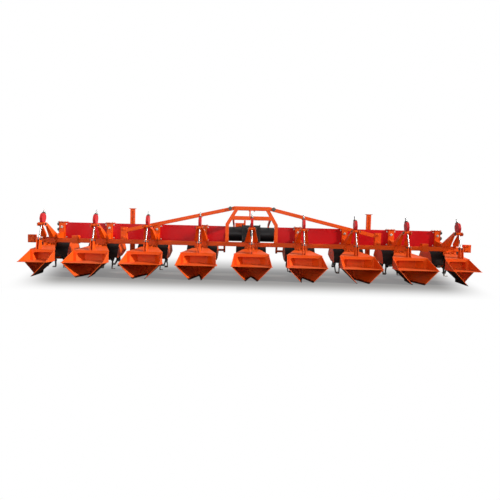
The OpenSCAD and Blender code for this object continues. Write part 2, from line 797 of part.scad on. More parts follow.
module mouldboard(i) {
    rows = 3;
    columns = 2 * bow_steps + 1;
    layer = columns * (rows + 1);
    floor_power = 1.2;
    // The plates lean, so their inner face lies further in than their thickness
    side_share = 1.4;
    nose_share = 2;
    // Point at column k and row j of the outer face, or of the inner one where wall is the thickness
    function skin(k, j, wall) =
        let (s = along(i, k), v = j / rows, top = share_half_of(i, k) - deck_lip,
            half = mix(share_half * top / (wing_half - deck_lip), top, v) - wall * side_share,
            nose = nose_y - wall * nose_share)
        [sign(k) * bow_x(s, half, mix(floor_power, bow, v)), nose * (1 - s), deck_z * v];
    outer = [for (j = [0 : rows], k = [-bow_steps : bow_steps]) skin(k, j, 0)];
    inner = [for (j = [0 : rows], k = [-bow_steps : bow_steps]) skin(k, j, share_t)];
    function at(j, c, face) = face * layer + j * columns + c;
    faces = concat(
        [for (j = [0 : rows - 1], c = [0 : columns - 2], t = [0, 1]) t == 0
            ? [at(j, c, 0), at(j, c + 1, 0), at(j + 1, c + 1, 0)]
            : [at(j, c, 0), at(j + 1, c + 1, 0), at(j + 1, c, 0)]],
        [for (j = [0 : rows - 1], c = [0 : columns - 2], t = [0, 1]) t == 0
            ? [at(j, c, 1), at(j + 1, c + 1, 1), at(j, c + 1, 1)]
            : [at(j, c, 1), at(j + 1, c, 1), at(j + 1, c + 1, 1)]],
        [for (c = [0 : columns - 2], t = [0, 1]) t == 0
            ? [at(0, c, 0), at(0, c + 1, 1), at(0, c + 1, 0)]
            : [at(0, c, 0), at(0, c, 1), at(0, c + 1, 1)]],
        [for (c = [0 : columns - 2], t = [0, 1]) t == 0
            ? [at(rows, c, 0), at(rows, c + 1, 0), at(rows, c + 1, 1)]
            : [at(rows, c, 0), at(rows, c + 1, 1), at(rows, c, 1)]],
        [for (j = [0 : rows - 1], t = [0, 1]) t == 0
            ? [at(j, 0, 0), at(j + 1, 0, 0), at(j + 1, 0, 1)]
            : [at(j, 0, 0), at(j + 1, 0, 1), at(j, 0, 1)]],
        [for (j = [0 : rows - 1], t = [0, 1]) t == 0
            ? [at(j, columns - 1, 0), at(j + 1, columns - 1, 1), at(j + 1, columns - 1, 0)]
            : [at(j, columns - 1, 0), at(j, columns - 1, 1), at(j + 1, columns - 1, 1)]]);
    polyhedron(concat(outer, inner), faces);
}

// Rotors

// Round sheet hoods over the rotor halves, each closed by a round side plate
module rotor_hoods() {
    from = 20;
    to = 185;
    color(orange) placed() each_unit() both_sides() translate([0, rotor_y, rotor_z]) {
        side_plate(case_w / 2, rotor_hood_half) intersection() {
            difference() { circle(hood_out_r); circle(hood_in_r); }
            hood_sector(from, to);
        }
        side_plate(rotor_hood_half, rotor_hood_half + sheet_t) intersection() {
            circle(hood_out_r);
            hood_sector(from, to);
        }
    }
}

module hood_sector(from, to) {
    far = hood_out_r * 2;
    polygon(concat([[0, 0]], [for (k = [0 : 4]) far * [cos(mix(from, to, k / 4)), sin(mix(from, to, k / 4))]]));
}

// Tine discs on each half of a rotor: [place along the shaft, turn of its tines, side its feet point to]
TINE_DISCS = [[80, 0, 1], [170, 45, -1]];

module rotor() {
    tines = 4;
    steps = 5;
    tip_w = 30;
    root_w = 52;
    root_r = disc_r - 30;
    sweep = 34;
    foot_len = 48;
    foot_t = 10;
    stagger = 22.5;
    reach = sqrt(tip_r * tip_r - pow(sweep + tip_w / 2, 2));
    // Edge of a curved tine: it tapers from root to tip and sweeps back with the square of its height
    function edge(k, side) = let (t = k / steps)
        [sweep * t * t + side * mix(root_w, tip_w, t) / 2, mix(root_r, reach, t)];
    color(black) placed() translate([0, rotor_y, rotor_z]) union() {
        bar_x(-rotor_half, rotor_half, rotor_shaft_r);
        for (half = [0, 1]) mirror([half, 0, 0]) for (disc = TINE_DISCS) translate([disc[0], 0, 0]) {
            bar_x(-disc_t / 2, disc_t / 2, disc_r);
            for (k = [0 : tines - 1]) rotate([disc[1] + k * 360 / tines + half * stagger, 0, 0]) {
                side_plate(-tine_t / 2, tine_t / 2)
                    polygon([for (t = [0 : steps]) edge(t, -1), for (t = [steps : -1 : 0]) edge(t, 1)]);
                translate([disc[2] > 0 ? 0 : -foot_len, sweep - tip_w / 2, reach - foot_t])
                    cube([foot_len, tip_w, foot_t]);
            }
        }
    }
}

module rotor_at(i) { translate([unit_x(i - 1), 0, 0]) rotor(); }

// Parking stands

sleeve_wall = 8;
lock_r = 9;
stand_y = beam_front + sleeve_wall + slide_fit + stand_d / 2;

module stand_sleeves() {
    sleeve_half = 80;
    sleeve_low = beam_z - sleeve_half;
    sleeve_high = beam_z + sleeve_half;
    hole_half = stand_w / 2 + slide_fit;
    color(orange) placed() both_sides() translate([stand_x, 0, 0]) difference() {
        block([-hole_half - sleeve_wall, beam_front, sleeve_low],
            [hole_half + sleeve_wall, stand_y + stand_d / 2 + slide_fit + sleeve_wall, sleeve_high]);
        block([-hole_half, stand_y - stand_d / 2 - slide_fit, sleeve_low - 1],
            [hole_half, stand_y + stand_d / 2 + slide_fit, sleeve_high + 1]);
        translate([0, stand_y, beam_z]) bar_x(-stand_w, stand_w, lock_r);
    }
}

// Flat post with a groove in its rear face, lock holes, a cap plate and a foot on the floor
module stand() {
    foot_t = 10;
    foot_d = 110;
    groove_w = 26;
    groove_d = 10;
    groove_low = 730;
    groove_top = stand_top - 40;
    cap_t = 8;
    cap_side = 17;
    color(orange) placed() translate([stand_x, stand_y, 0]) union() {
        block([-stand_foot / 2, -foot_d / 2, 0], [stand_foot / 2, foot_d / 2, foot_t]);
        difference() {
            block([-stand_w / 2, -stand_d / 2, foot_t - 1], [stand_w / 2, stand_d / 2, stand_top]);
            block([-groove_w / 2, -stand_d, groove_low], [groove_w / 2, groove_d - stand_d / 2, groove_top]);
            for (z = [beam_z, beam_z - stand_travel]) translate([0, 0, z]) bar_x(-stand_w, stand_w, lock_r);
        }
        block([-stand_w / 2 - cap_side, -stand_d / 2 - cap_t, stand_top],
            [stand_w / 2 + cap_side, stand_d / 2 + cap_t, stand_top + cap_t]);
    }
}

module stand_left() { mirror([1, 0, 0]) stand(); }
module stand_right() { stand(); }

toolbar();
front_beam();
bar_blocks();
unit_arms();
chain_cases();
case_caps();
guards();
gearbox();
shaft_shields();
pto_guard();
line_shaft();
input_shaft();
headstock_uprights();
headstock_bars();
headstock_struts();
braces();
brace_feet();
top_link_plates();
lower_link_brackets();
tool_box();
tower_clamps();
tower_plates();
trunnions();
pressure_rods();
spring_caps();
rod_clevises();
hood_hinges();
ridger_hoods();
wing_plates();
ridger_decks();
mouldboards();
rotor_hoods();
rotor_at(1);  // rotor_1
rotor_at(2);  // rotor_2
rotor_at(3);  // rotor_3
rotor_at(4);  // rotor_4
rotor_at(5);  // rotor_5
rotor_at(6);  // rotor_6
rotor_at(7);  // rotor_7
rotor_at(8);  // rotor_8
rotor_at(9);  // rotor_9
stand_sleeves();
stand_left();
stand_right();
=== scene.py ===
import math

import bpy
import numpy as np
from mathutils import Matrix, Vector


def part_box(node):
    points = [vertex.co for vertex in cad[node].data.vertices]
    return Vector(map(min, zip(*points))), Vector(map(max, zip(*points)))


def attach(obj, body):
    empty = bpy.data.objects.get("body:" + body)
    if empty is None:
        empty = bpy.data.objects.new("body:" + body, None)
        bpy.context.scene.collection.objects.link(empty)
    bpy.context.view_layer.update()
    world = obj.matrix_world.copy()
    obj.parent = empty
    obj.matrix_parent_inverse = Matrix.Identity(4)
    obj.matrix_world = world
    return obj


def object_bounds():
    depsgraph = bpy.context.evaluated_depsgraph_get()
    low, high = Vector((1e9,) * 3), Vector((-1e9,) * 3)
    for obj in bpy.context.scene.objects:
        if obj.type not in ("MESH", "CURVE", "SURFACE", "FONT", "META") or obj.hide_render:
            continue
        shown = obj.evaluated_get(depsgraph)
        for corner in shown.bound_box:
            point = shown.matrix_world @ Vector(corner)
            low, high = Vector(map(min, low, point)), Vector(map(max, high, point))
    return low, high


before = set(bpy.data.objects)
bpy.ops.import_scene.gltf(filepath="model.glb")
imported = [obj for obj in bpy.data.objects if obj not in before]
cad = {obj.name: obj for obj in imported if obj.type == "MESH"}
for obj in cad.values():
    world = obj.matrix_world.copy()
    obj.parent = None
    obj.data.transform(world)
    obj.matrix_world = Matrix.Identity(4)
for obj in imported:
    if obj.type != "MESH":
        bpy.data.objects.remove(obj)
cad_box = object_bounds()

# Frame: the square rear toolbar, the front beam and the arms between them are welded steel tube and plate.
# They are sprayed with one thick coat of gloss orange with a little orange peel and a painted highlight of a
# brighter tone along the edges; it gathers dust low down and on its upper faces. Bolts hold the blocks on
# the bar.


class Value:
    """A socket of one node tree. Operators on it add Math nodes, with plain numbers on either side."""

    def __init__(self, owner, socket):
        self.owner, self.socket = owner, socket

    def math(self, operation, *others):
        return self.owner.node("ShaderNodeMath", {"operation": operation}, dict(enumerate((self, *others))))

    def __add__(self, other):
        return self.math("ADD", other)

    def __sub__(self, other):
        return self.math("SUBTRACT", other)

    def __rsub__(self, other):
        return (self * -1.0).math("ADD", other)

    def __mul__(self, other):
        return self.math("MULTIPLY", other)

    def __truediv__(self, other):
        return self.math("DIVIDE", other)

    def __pow__(self, other):
        return self.math("POWER", other)

    __radd__, __rmul__ = __add__, __mul__


class Tree:
    """A node tree: one method adds a node, another feeds a socket with a number, a colour or a Value."""

    def __init__(self, tree):
        self.tree = tree

    def node(self, kind, settings=None, inputs=None, out=0):
        """Adds a node: its settings come first, then the values or links of its sockets."""
        made = self.tree.nodes.new(kind)
        for key, value in (settings or {}).items():
            setattr(made, key, value)
        for key, value in (inputs or {}).items():
            self.feed(made.inputs[key], value)
        return Value(self, made.outputs[out])

    def feed(self, socket, value):
        """Links a Value to a socket, or sets a number, a vector or a colour on it."""
        if isinstance(value, Value):
            self.tree.links.new(value.socket, socket)
        elif socket.type == "RGBA" and len(value) == 3:
            socket.default_value = (*value, 1.0)
        else:
            socket.default_value = value


class Finish(Tree):
    """One procedural material on the Principled shader, with its patterns in Object coordinates."""

    def __init__(self, name):
        self.material = bpy.data.materials.new(name)
        self.material.use_nodes = True
        super().__init__(self.material.node_tree)
        self.shader = self.tree.nodes["Principled BSDF"]
        self.place = self.node("ShaderNodeTexCoord", out="Object")

    def set(self, **sockets):
        """Feeds the shader's sockets, named with _ for a space: base_color, roughness, coat_weight."""
        for key, value in sockets.items():
            title = " ".join("IOR" if word == "ior" else word.capitalize() for word in key.split("_"))
            self.feed(self.shader.inputs[title], value)

    def noise(self, scale, detail=3.0, rough=0.55):
        """Soft patches between 0 and 1, with about scale of them to the metre."""
        return self.node("ShaderNodeTexNoise", None,
                         {"Vector": self.place, "Scale": scale, "Detail": detail, "Roughness": rough})

    def step(self, value, low, high):
        """A smooth step of value from 0 at low to 1 at high."""
        return self.node("ShaderNodeMapRange", {"interpolation_type": "SMOOTHSTEP"},
                         {"Value": value, "From Min": low, "From Max": high})

    def mix(self, share, first, second):
        """Colour that goes from first to second as share goes from 0 to 1."""
        return self.node("ShaderNodeMix", {"data_type": "RGBA"}, {0: share, 6: first, 7: second}, out=2)

    def axis(self, letter):
        """Where a point lies along one axis of the machine, in metres."""
        return self.node("ShaderNodeSeparateXYZ", None, {0: self.place}, out=letter)

    def facing(self, letter):
        """How far a face looks along one axis, from -1 against it to 1 along it."""
        normal = self.node("ShaderNodeNewGeometry", out="Normal")
        return self.node("ShaderNodeSeparateXYZ", None, {0: normal}, out=letter)

    def edges(self, radius):
        """A mask of sharp edges, 1 where the rounded normal leaves the true one, and the rounded normal."""
        rounded = self.node("ShaderNodeBevel", {"samples": 4}, {"Radius": radius})
        normal = self.node("ShaderNodeNewGeometry", out="Normal")
        dot = {"operation": "DOT_PRODUCT"}
        agree = self.node("ShaderNodeVectorMath", dot, {0: rounded, 1: normal}, out="Value")
        return self.step(1 - agree, 0.02, 0.25), rounded

    def bump(self, height, distance, strength, normal=None):
        """Relief from a height between 0 and 1 that is distance deep, on the normal that is given."""
        inputs = {"Height": height, "Distance": distance, "Strength": strength}
        if normal is not None:
            inputs["Normal"] = normal
        self.set(normal=self.node("ShaderNodeBump", None, inputs))


def sprayed(name, colour, bright, dust_share, gloss=0.34, over=None):
    """Gloss sprayed paint: cloudy tone, a painted highlight on the edges, orange peel, dust low down and on
    top.

    A function over(finish) may give a second surface on it: its share, its colour and how metallic it is.
    """
    f = Finish(name)
    cloud_scale, chip_scale, speck_scale, peel_scale = 2.2, 30.0, 95.0, 420.0
    edge_radius, peel_depth = 0.005, 0.0006
    dust, dust_thick_z, dust_none_z = (0.26, 0.16, 0.10), 0.05, 0.5
    deep = tuple(c * 0.84 for c in colour)
    cloud = f.noise(cloud_scale, 4.0)
    speck = f.noise(speck_scale, 2.0)
    edge, rounded = f.edges(edge_radius)
    upward = f.facing("Z").math("MAXIMUM", 0.0)
    low = 1 - f.step(f.axis("Z"), dust_thick_z, dust_none_z)
    dusty = (upward * 0.5 + low * 0.5) * f.step(cloud + speck * 0.35, 0.52, 0.95) * dust_share
    # Painted highlight: chipped patches along the sharp edges take the brighter tone.
    edge_highlight = edge * f.step(f.noise(chip_scale), 0.35, 0.62)
    tone = f.mix(f.step(cloud, 0.3, 0.7), deep, colour)
    tone = f.mix(edge_highlight * 0.7, tone, bright)
    tone = f.mix(dusty, tone, dust)
    rough = gloss + dusty * 0.45 + speck * 0.08
    coat_share = 0.07 - dusty * 0.06
    if over is not None:
        share, second, metal = over(f)
        tone = f.mix(share, tone, second)
        rough = rough + share * 0.1
        coat_share = coat_share * (1 - share)
        if metal > 0.0:
            f.set(metallic=share * metal)
    f.set(base_color=tone, roughness=rough, coat_weight=coat_share, coat_roughness=0.15, ior=1.5,
          specular_ior_level=0.12)
    f.bump(f.noise(peel_scale, 1.0) * 0.6 + speck * 0.4, peel_depth, 0.25, rounded)
    return f.material


orange = {"colour": (0.80, 0.086, 0.003), "bright": (0.90, 0.20, 0.04), "dust_share": 0.45}
orange_paint = sprayed("orange_paint", **orange)


def coat(material, *nodes):
    """Puts one material on every slot of the named CAD nodes."""
    for name in nodes:
        for slot in cad[name].material_slots:
            slot.material = material


coat(orange_paint, "toolbar", "front_beam", "bar_blocks", "unit_arms")


def piece(name, points, faces, material, slot, body="root"):
    """A mesh of its own, in the shared frame, that takes one finish and moves with one body."""
    mesh = bpy.data.meshes.new(name)
    mesh.from_pydata(points.tolist(), [], faces)
    mesh.materials.append(material)
    made = bpy.data.objects.new(name, mesh)
    bpy.context.scene.collection.objects.link(made)
    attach(made, body)


def tube(rows, columns, first=0):
    """Faces of a grid of rows that closes on itself along its columns, with a flat cap on each end."""
    row, column = np.meshgrid(np.arange(rows - 1), np.arange(columns), indexing="ij")
    after = (column + 1) % columns
    here, above = row * columns, (row + 1) * columns
    walls = np.stack((here + column, here + after, above + after, above + column), -1).reshape(-1, 4)
    ring = np.arange(columns)
    caps = np.stack((ring[::-1], (rows - 1) * columns + ring))
    return (first + walls).tolist() + (first + caps).tolist()


def bolts(name, places, across, material, slot, body="root"):
    """Hexagon bolts on round washers; places holds (point, direction that the head looks to) pairs.

    The head's radius at angle a from the middle of a flat is half the width across flats over cos(a).
    Radii and heights are shares of that width, and each bolt is spun a little further than the last.
    """
    around, spin = 12, 0.37
    washer, washer_top, head_top, crown, crown_top = 0.95, 0.14, 0.70, 0.44, 0.78
    turn = np.linspace(0.0, 2 * np.pi, around, endpoint=False)
    hexagon = 0.5 / np.cos((turn + np.pi / 6) % (np.pi / 3) - np.pi / 6)
    disc = np.ones(around)
    radii = np.stack((washer * disc, washer * disc, hexagon, hexagon, crown * disc))
    heights = np.array((0.0, washer_top, washer_top, head_top, crown_top))
    points, faces = [], []
    for number, (point, toward) in enumerate(places):
        out = Vector(toward).normalized()
        side = out.orthogonal().normalized()
        spun = turn + number * spin
        x, y = radii * np.cos(spun), radii * np.sin(spun)
        flat = np.multiply.outer(x, side) + np.multiply.outer(y, out.cross(side))
        raised = np.multiply.outer(heights, out)[:, None, :]
        points.append((np.array(point) + across * (flat + raised)).reshape(-1, 3))
        faces += tube(len(heights), around, number * radii.size)
    piece(name, np.concatenate(points), faces, material, slot, body)


sides = (-1, 1)
rearward = (0, -1, 0)
block_low, block_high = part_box("bar_blocks")
block_inset, block_edge = 0.045, 0.020
block_rows = (block_low.z + block_edge, block_high.z - block_edge)
bolts("block_bolts", [((side * (block_high.x - block_inset), block_low.y, z), rearward)
                      for side in sides for z in block_rows],
      across=0.022, material=orange_paint, slot="orange_paint")

# Headstock: bent uprights, bars, stays and braces of welded tube, with the top link plates, the lower link
# brackets and a small box, all in the frame's orange paint. The uprights are welded to the toolbar, the
# braces to feet that are bolted to it, and dark nuts hold the braces at the top.

coat(orange_paint, "headstock_uprights", "headstock_bars", "headstock_struts", "braces", "brace_feet",
     "top_link_plates", "lower_link_brackets", "tool_box")
foot_low, foot_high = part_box("brace_feet")
foot_width, foot_edge = 0.090, 0.035
foot_rows = (foot_low.z + foot_edge, foot_high.z - foot_edge)
bolts("foot_bolts", [((side * (foot_high.x - foot_width / 2), foot_low.y, z), rearward)
                     for side in sides for z in foot_rows],
      across=0.024, material=orange_paint, slot="orange_paint")


def plated(name, colour, rough):
    """Zinc-plated fasteners: a dull metal with cloudy brown stains."""
    f = Finish(name)
    stain_scale, brown = 60.0, (0.18, 0.12, 0.08)
    stain = f.step(f.noise(stain_scale), 0.45, 0.75)
    f.set(base_color=f.mix(stain * 0.7, colour, brown), metallic=0.9 - stain * 0.4,
          roughness=rough + stain * 0.25)
    return f.material


dark_nut = plated("dark_nut", colour=(0.10, 0.095, 0.09), rough=0.45)
brace_low, brace_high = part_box("braces")
top_bar_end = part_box("headstock_bars")[1].x
brace_nut_out, brace_nut_drop = 0.028, 0.030
brace_nut = (brace_low.y, brace_high.z - brace_nut_drop)
bolts("brace_bolts", [((side * (top_bar_end + brace_nut_out), *brace_nut), rearward) for side in sides],
      across=0.030, material=dark_nut, slot="bright_steel")


def beads(name, lines, width):
    """Weld beads from point to point: a round ridge whose radius ripples as 1 + ripple |sin|, pool by pool.

    At both ends the radius grows from a small share of itself, in a straight line.
    """
    around, pool, rows_in_pool, fewest_rows = 8, width * 0.8, 4, 6
    ripple, end_share, end_growth = 0.15, 0.3, 12
    turn = np.linspace(0.0, 2 * np.pi, around, endpoint=False)
    points, faces, first = [], [], 0
    for start, end in lines:
        run = np.array(end) - np.array(start)
        length = np.linalg.norm(run)
        along = Vector(run).normalized()
        side = along.orthogonal().normalized()
        ring = np.outer(np.cos(turn), side) + np.outer(np.sin(turn), along.cross(side))
        rows = max(fewest_rows, int(length / pool * rows_in_pool))
        t = np.linspace(0.0, 1.0, rows)[:, None, None]
        ends = np.minimum(1.0, end_share + end_growth * np.minimum(t, 1 - t))
        radius = width / 2 * ends * (1 + ripple * np.abs(np.sin(np.pi * t * length / pool)))
        points.append((np.array(start) + t * run + ring * radius).reshape(-1, 3))
        faces += tube(rows, around, first)
        first += rows * around
    piece(name, np.concatenate(points), faces, orange_paint, "orange_paint")


post_low, post_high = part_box("headstock_uprights")
post_width, brace_drop = 0.050, 0.020
seams = []
for side in sides:
    outer, inner = side * post_high.x, side * (post_high.x - post_width)
    seams += [((x, post_low.y, post_low.z), (x, post_high.y, post_low.z)) for x in (outer, inner)]
    seams += [((outer, y, post_low.z), (inner, y, post_low.z)) for y in (post_low.y, post_high.y)]
    foot_x, brace_top = side * (foot_high.x - foot_width), foot_high.z - brace_drop
    seams.append(((foot_x, brace_low.y, brace_top), (foot_x, brace_high.y, brace_top)))
beads("headstock_welds", seams, width=0.009)

# Guards: folded red sheet over the line shaft, between the heads of the orange chain cases.
# Their broad faces are bare and glossy. Small screws hold their edges, larger bolts the case heads, and
# each outer case has two dark knobs on its end. The gearbox takes the place of the middle case's head.

guard_red = sprayed("guard_red", colour=(0.60, 0.004, 0.007), bright=(0.75, 0.05, 0.05), dust_share=0.15,
                    gloss=0.30)
coat(guard_red, "guards")
coat(orange_paint, "chain_cases", "case_caps")
zinc = plated("zinc", colour=(0.58, 0.56, 0.50), rough=0.36)
unit_count = 9
unit_x = [sum(corner.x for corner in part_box(f"rotor_{k + 1}")) / 2 for k in range(unit_count)]
case_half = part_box("chain_cases")[1].x - unit_x[-1]
heads = [x for x in unit_x if abs(x) > case_half]
guard_low, guard_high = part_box("guards")
screw_inset, screw_edge = 0.018, 0.025
screw_rows = (guard_low.z + screw_edge, guard_high.z - screw_edge)
screw_columns = [x + way * (case_half + screw_inset) for left, right in zip(unit_x, unit_x[1:])
                 for x, way in ((left, 1), (right, -1)) if x in heads]
bolts("guard_screws", [((x, guard_low.y, z), rearward) for x in screw_columns for z in screw_rows],
      across=0.012, material=zinc, slot="bright_steel")
cap_low, cap_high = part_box("case_caps")
cap_inset, cap_edge, cap_lap = 0.015, 0.020, 0.010
head_rear, head_bolt_drop = cap_low.y + cap_lap, 0.075
bolts("case_bolts", [((x, head_rear, guard_high.z - head_bolt_drop), rearward) for x in heads],
      across=0.020, material=zinc, slot="bright_steel")
cap_bolt_x = cap_high.x - unit_x[-1] - cap_inset
cap_rows = (cap_low.y + cap_edge, cap_high.y - cap_edge)
bolts("cap_bolts", [((x + side * cap_bolt_x, y, cap_high.z), (0, 0, 1))
                    for x in heads for side in sides for y in cap_rows],
      across=0.014, material=zinc, slot="bright_steel")
knob_drops, knob_inset = (0.030, 0.115), 0.030
knob_x, knob_y = heads[-1] + case_half, head_rear + knob_inset
bolts("end_knobs", [((side * knob_x, knob_y, guard_high.z - drop), (side, 0, 0))
                    for side in sides for drop in knob_drops],
      across=0.044, material=dark_nut, slot="drive_black")

# Drive: cast gearbox, shields and guard of the input shaft in black paint, and a bright hexagon line shaft.
# The castings are coarse, and dust and grease dull their paint. Six bolts hold the gearbox's rear cover,
# and six splines are cut in the input shaft's end.


def black_paint(name, colour, gloss, grain, worn_from=None, centre=None):
    """Black paint on rough metal: grey scuffs on its edges, brown dust in cloudy patches.

    Beyond the radius worn_from round the X axis through centre, soil has worn the metal bright.
    """
    f = Finish(name)
    cloud_scale, scuff_scale, wear_scale = 5.0, 40.0, 25.0
    edge_radius, grain_depth, wear_fade = 0.005, 0.0015, 0.03
    scuffed, dust, bare_steel = (0.10, 0.095, 0.09), (0.035, 0.029, 0.024), (0.30, 0.27, 0.24)
    cloud = f.noise(cloud_scale, 4.0)
    edge, rounded = f.edges(edge_radius)
    tone = f.mix(edge * f.step(f.noise(scuff_scale), 0.4, 0.6), colour, scuffed)
    tone = f.mix(f.step(cloud, 0.55, 0.8) * 0.4, tone, dust)
    rough = gloss + cloud * 0.2
    if worn_from is not None:
        y, z = f.axis("Y") - centre[0], f.axis("Z") - centre[1]
        radius = (y * y + z * z) ** 0.5
        bare = f.step(radius + f.noise(wear_scale) * wear_fade, worn_from, worn_from + wear_fade)
        tone = f.mix(bare, tone, bare_steel)
        f.set(metallic=bare * 0.85)
        rough = rough - bare * 0.1
    f.set(base_color=tone, roughness=rough, specular_ior_level=0.3)
    f.bump(f.noise(grain), grain_depth, 0.35, rounded)
    return f.material


drive_black = black_paint("drive_black", colour=(0.006, 0.006, 0.007), gloss=0.34, grain=160.0)
coat(drive_black, "gearbox", "shaft_shields", "pto_guard")


def bright_bar(name, colour, along):
    """Drawn steel bar: fine lines along its length and a thin brown bloom."""
    f = Finish(name)
    along_scale, across_scale, bloom_scale, line_depth = 6.0, 260.0, 18.0, 0.0004
    brown = (0.30, 0.20, 0.13)
    stretch = tuple(along_scale if axis == along else across_scale for axis in "XYZ")
    drawn = f.node("ShaderNodeVectorMath", {"operation": "MULTIPLY"}, {0: f.place, 1: stretch})
    lines = f.node("ShaderNodeTexNoise", None, {"Vector": drawn, "Scale": 1.0, "Detail": 2.0})
    bloom = f.step(f.noise(bloom_scale, 4.0), 0.58, 0.8)
    f.set(base_color=f.mix(bloom * 0.6, colour, brown), metallic=1 - bloom * 0.5,
          roughness=lines * 0.2 + 0.22 + bloom * 0.25)
    f.bump(lines, line_depth, 0.3)
    return f.material


shaft_steel = bright_bar("shaft_steel", colour=(0.56, 0.57, 0.59), along="X")
coat(shaft_steel, "line_shaft", "input_shaft")
cover_half, cover_low, cover_tall, cover_thick, cover_edge = 0.075, 0.588, 0.110, 0.009, 0.014
cover_columns = (cover_edge - cover_half, 0.0, cover_half - cover_edge)
cover_rows = (cover_low + cover_edge, cover_low + cover_tall - cover_edge)
bolts("cover_bolts", [((x, head_rear - cover_thick, z), rearward)
                      for x in cover_columns for z in cover_rows],
      across=0.017, material=drive_black, slot="drive_black")


def splines(radius, rise, count, length):
    """A splined end along Y, whose rings follow r(a) = radius + rise clip(4 cos(count a), 0, 1).

    Its first ring is a little smaller and stands just proud of the shaft's end, which makes the chamfer.
    """
    around, chamfer, chamfer_share, proud = 72, 0.003, 0.96, 0.0005
    turn = np.linspace(0.0, 2 * np.pi, around, endpoint=False)
    ridge = radius + rise * np.clip(4 * np.cos(count * turn), 0.0, 1.0)
    low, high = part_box("input_shaft")
    shares = np.array((chamfer_share, 1.0, 1.0))[:, None]
    depths = np.array((-proud, chamfer, length))[:, None]
    x, z = shares * ridge * np.cos(turn), (low.z + high.z) / 2 + shares * ridge * np.sin(turn)
    y = np.broadcast_to(high.y - depths, x.shape)
    return np.stack((x, y, z), -1).reshape(-1, 3), tube(len(shares), around)


piece("input_splines", *splines(radius=0.0173, rise=0.0011, count=6, length=0.070),
      shaft_steel, "bright_steel", "input_shaft")

# Towers: on clamps round the toolbar, two halves with leaning sides and slanted faces hold a pressure rod.
# The rods are steel bars through flat red spring caps, with nuts on top and forks on the hoods below.
# Bolts hold the clamps, the rods' trunnions and the forks, and the towers are welded to their clamps.

coat(orange_paint, "tower_clamps", "tower_plates", "rod_clevises", "hood_hinges", "trunnions")
rod_steel = bright_bar("rod_steel", colour=(0.22, 0.22, 0.23), along="Z")
coat(rod_steel, "pressure_rods")
cap_red = sprayed("cap_red", colour=(0.52, 0.018, 0.022), bright=(0.66, 0.08, 0.08), dust_share=0.20,
                  gloss=0.36)
coat(cap_red, "spring_caps")
unit_sides = [(x, side) for x in unit_x for side in sides]
clamp_low, clamp_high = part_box("tower_clamps")
clamp_half = clamp_high.x - unit_x[-1]
clamp_inset, clamp_rise, clamp_drops = 0.018, 0.022, (0.064, 0.018)
clamp_rows = (clamp_low.z + clamp_rise, *(clamp_high.z - drop for drop in clamp_drops))
bolts("clamp_bolts", [((x + side * (clamp_half - clamp_inset), clamp_low.y, z), rearward)
                      for x, side in unit_sides for z in clamp_rows],
      across=0.022, material=orange_paint, slot="orange_paint")
trunnion_low, trunnion_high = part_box("trunnions")
trunnion_mid = (trunnion_low + trunnion_high) / 2
pin_half = trunnion_high.x - unit_x[-1]
bolts("trunnion_bolts", [((x + side * pin_half, *trunnion_mid.yz), (side, 0, 0)) for x, side in unit_sides],
      across=0.020, material=dark_nut, slot="bright_steel")
rod_run, rod_rise, nut_reach = 0.081, 0.212, 0.1645
rod_up = Vector((0.0, rod_run, rod_rise)).normalized()
nut_place = trunnion_mid + rod_up * nut_reach
bolts("rod_nuts", [((x, *nut_place.yz), rod_up) for x in unit_x],
      across=0.030, material=dark_nut, slot="bright_steel")
fork_low, fork_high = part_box("rod_clevises")
fork_radius, fork_pin_out = 0.024, 0.004
fork_place = ((fork_low.y + fork_high.y) / 2, fork_high.z - fork_radius)
fork_half = fork_high.x - unit_x[-1] - fork_pin_out
bolts("fork_bolts", [((x + side * fork_half, *fork_place), (side, 0, 0)) for x, side in unit_sides],
      across=0.019, material=dark_nut, slot="bright_steel")
weld_inset = 0.004
weld_ends = (clamp_low.y + weld_inset, clamp_high.y - weld_inset)
beads("tower_welds", [tuple((x + side * clamp_half, y, clamp_high.z) for y in weld_ends)
                      for x, side in unit_sides], width=0.010)

# Ridging bodies: mouldboards bent from plate, a deck, flared wings and a framed hood, all in orange paint.
# Their outer faces carry dark rust-brown as painted shade, and soil has rubbed their lowest edges down to
# dark rust-brown steel.

pitch = unit_x[1] - unit_x[0]


def shade_and_scour(f):
    """Dark rust-brown: painted shade on the faces that look out, and bare steel on all faces close to the
    floor.

    A face looks out where its normal points forward, or away from the middle of its own unit.
    """
    shade_and_rust_brown, metal = (0.036, 0.012, 0.008), 0.2
    tide_low, tide_high, tide_scale, tide_play = 0.028, 0.042, 14.0, 0.03
    from_middle = f.axis("X") - (f.axis("X") / pitch).math("ROUND") * pitch
    # Painted shade: faces that look forward or away from their unit's middle take the dark brown.
    outward = f.step(f.facing("X") * from_middle.math("SIGN") + f.facing("Y"), -0.02, 0.02)
    # Real wear: soil has rubbed the faces close to the floor down to bare steel.
    low = 1 - f.step(f.axis("Z") + f.noise(tide_scale, 4.0) * tide_play, tide_low, tide_high)
    return outward.math("MAXIMUM", low), shade_and_rust_brown, metal


coat(sprayed("share_paint", **orange, over=shade_and_scour), "mouldboards")
coat(orange_paint, "ridger_hoods", "wing_plates", "ridger_decks")

# Rotors: nine forged shafts with discs and bolted tines, black from the forge and worn bright at the tips.
# Round hoods cover them. Their round sheets and the whole middle hood are black, as painted shade; the flat
# side plates of the other hoods are orange.


def painted_shade_sheets(f):
    """Black on the round sheets, whose normals have no share along X, and on the whole middle hood: painted
    shade.
    """
    black, metal, blend = (0.014, 0.008, 0.007), 0.0, 0.005
    side_plate = f.step(f.facing("X").math("ABSOLUTE"), 0.4, 0.6)
    past_middle = f.step(f.axis("X").math("ABSOLUTE"), pitch / 2 - blend, pitch / 2)
    # Painted shade: black everywhere but on the side plates outside the middle unit.
    return 1 - side_plate * past_middle, black, metal


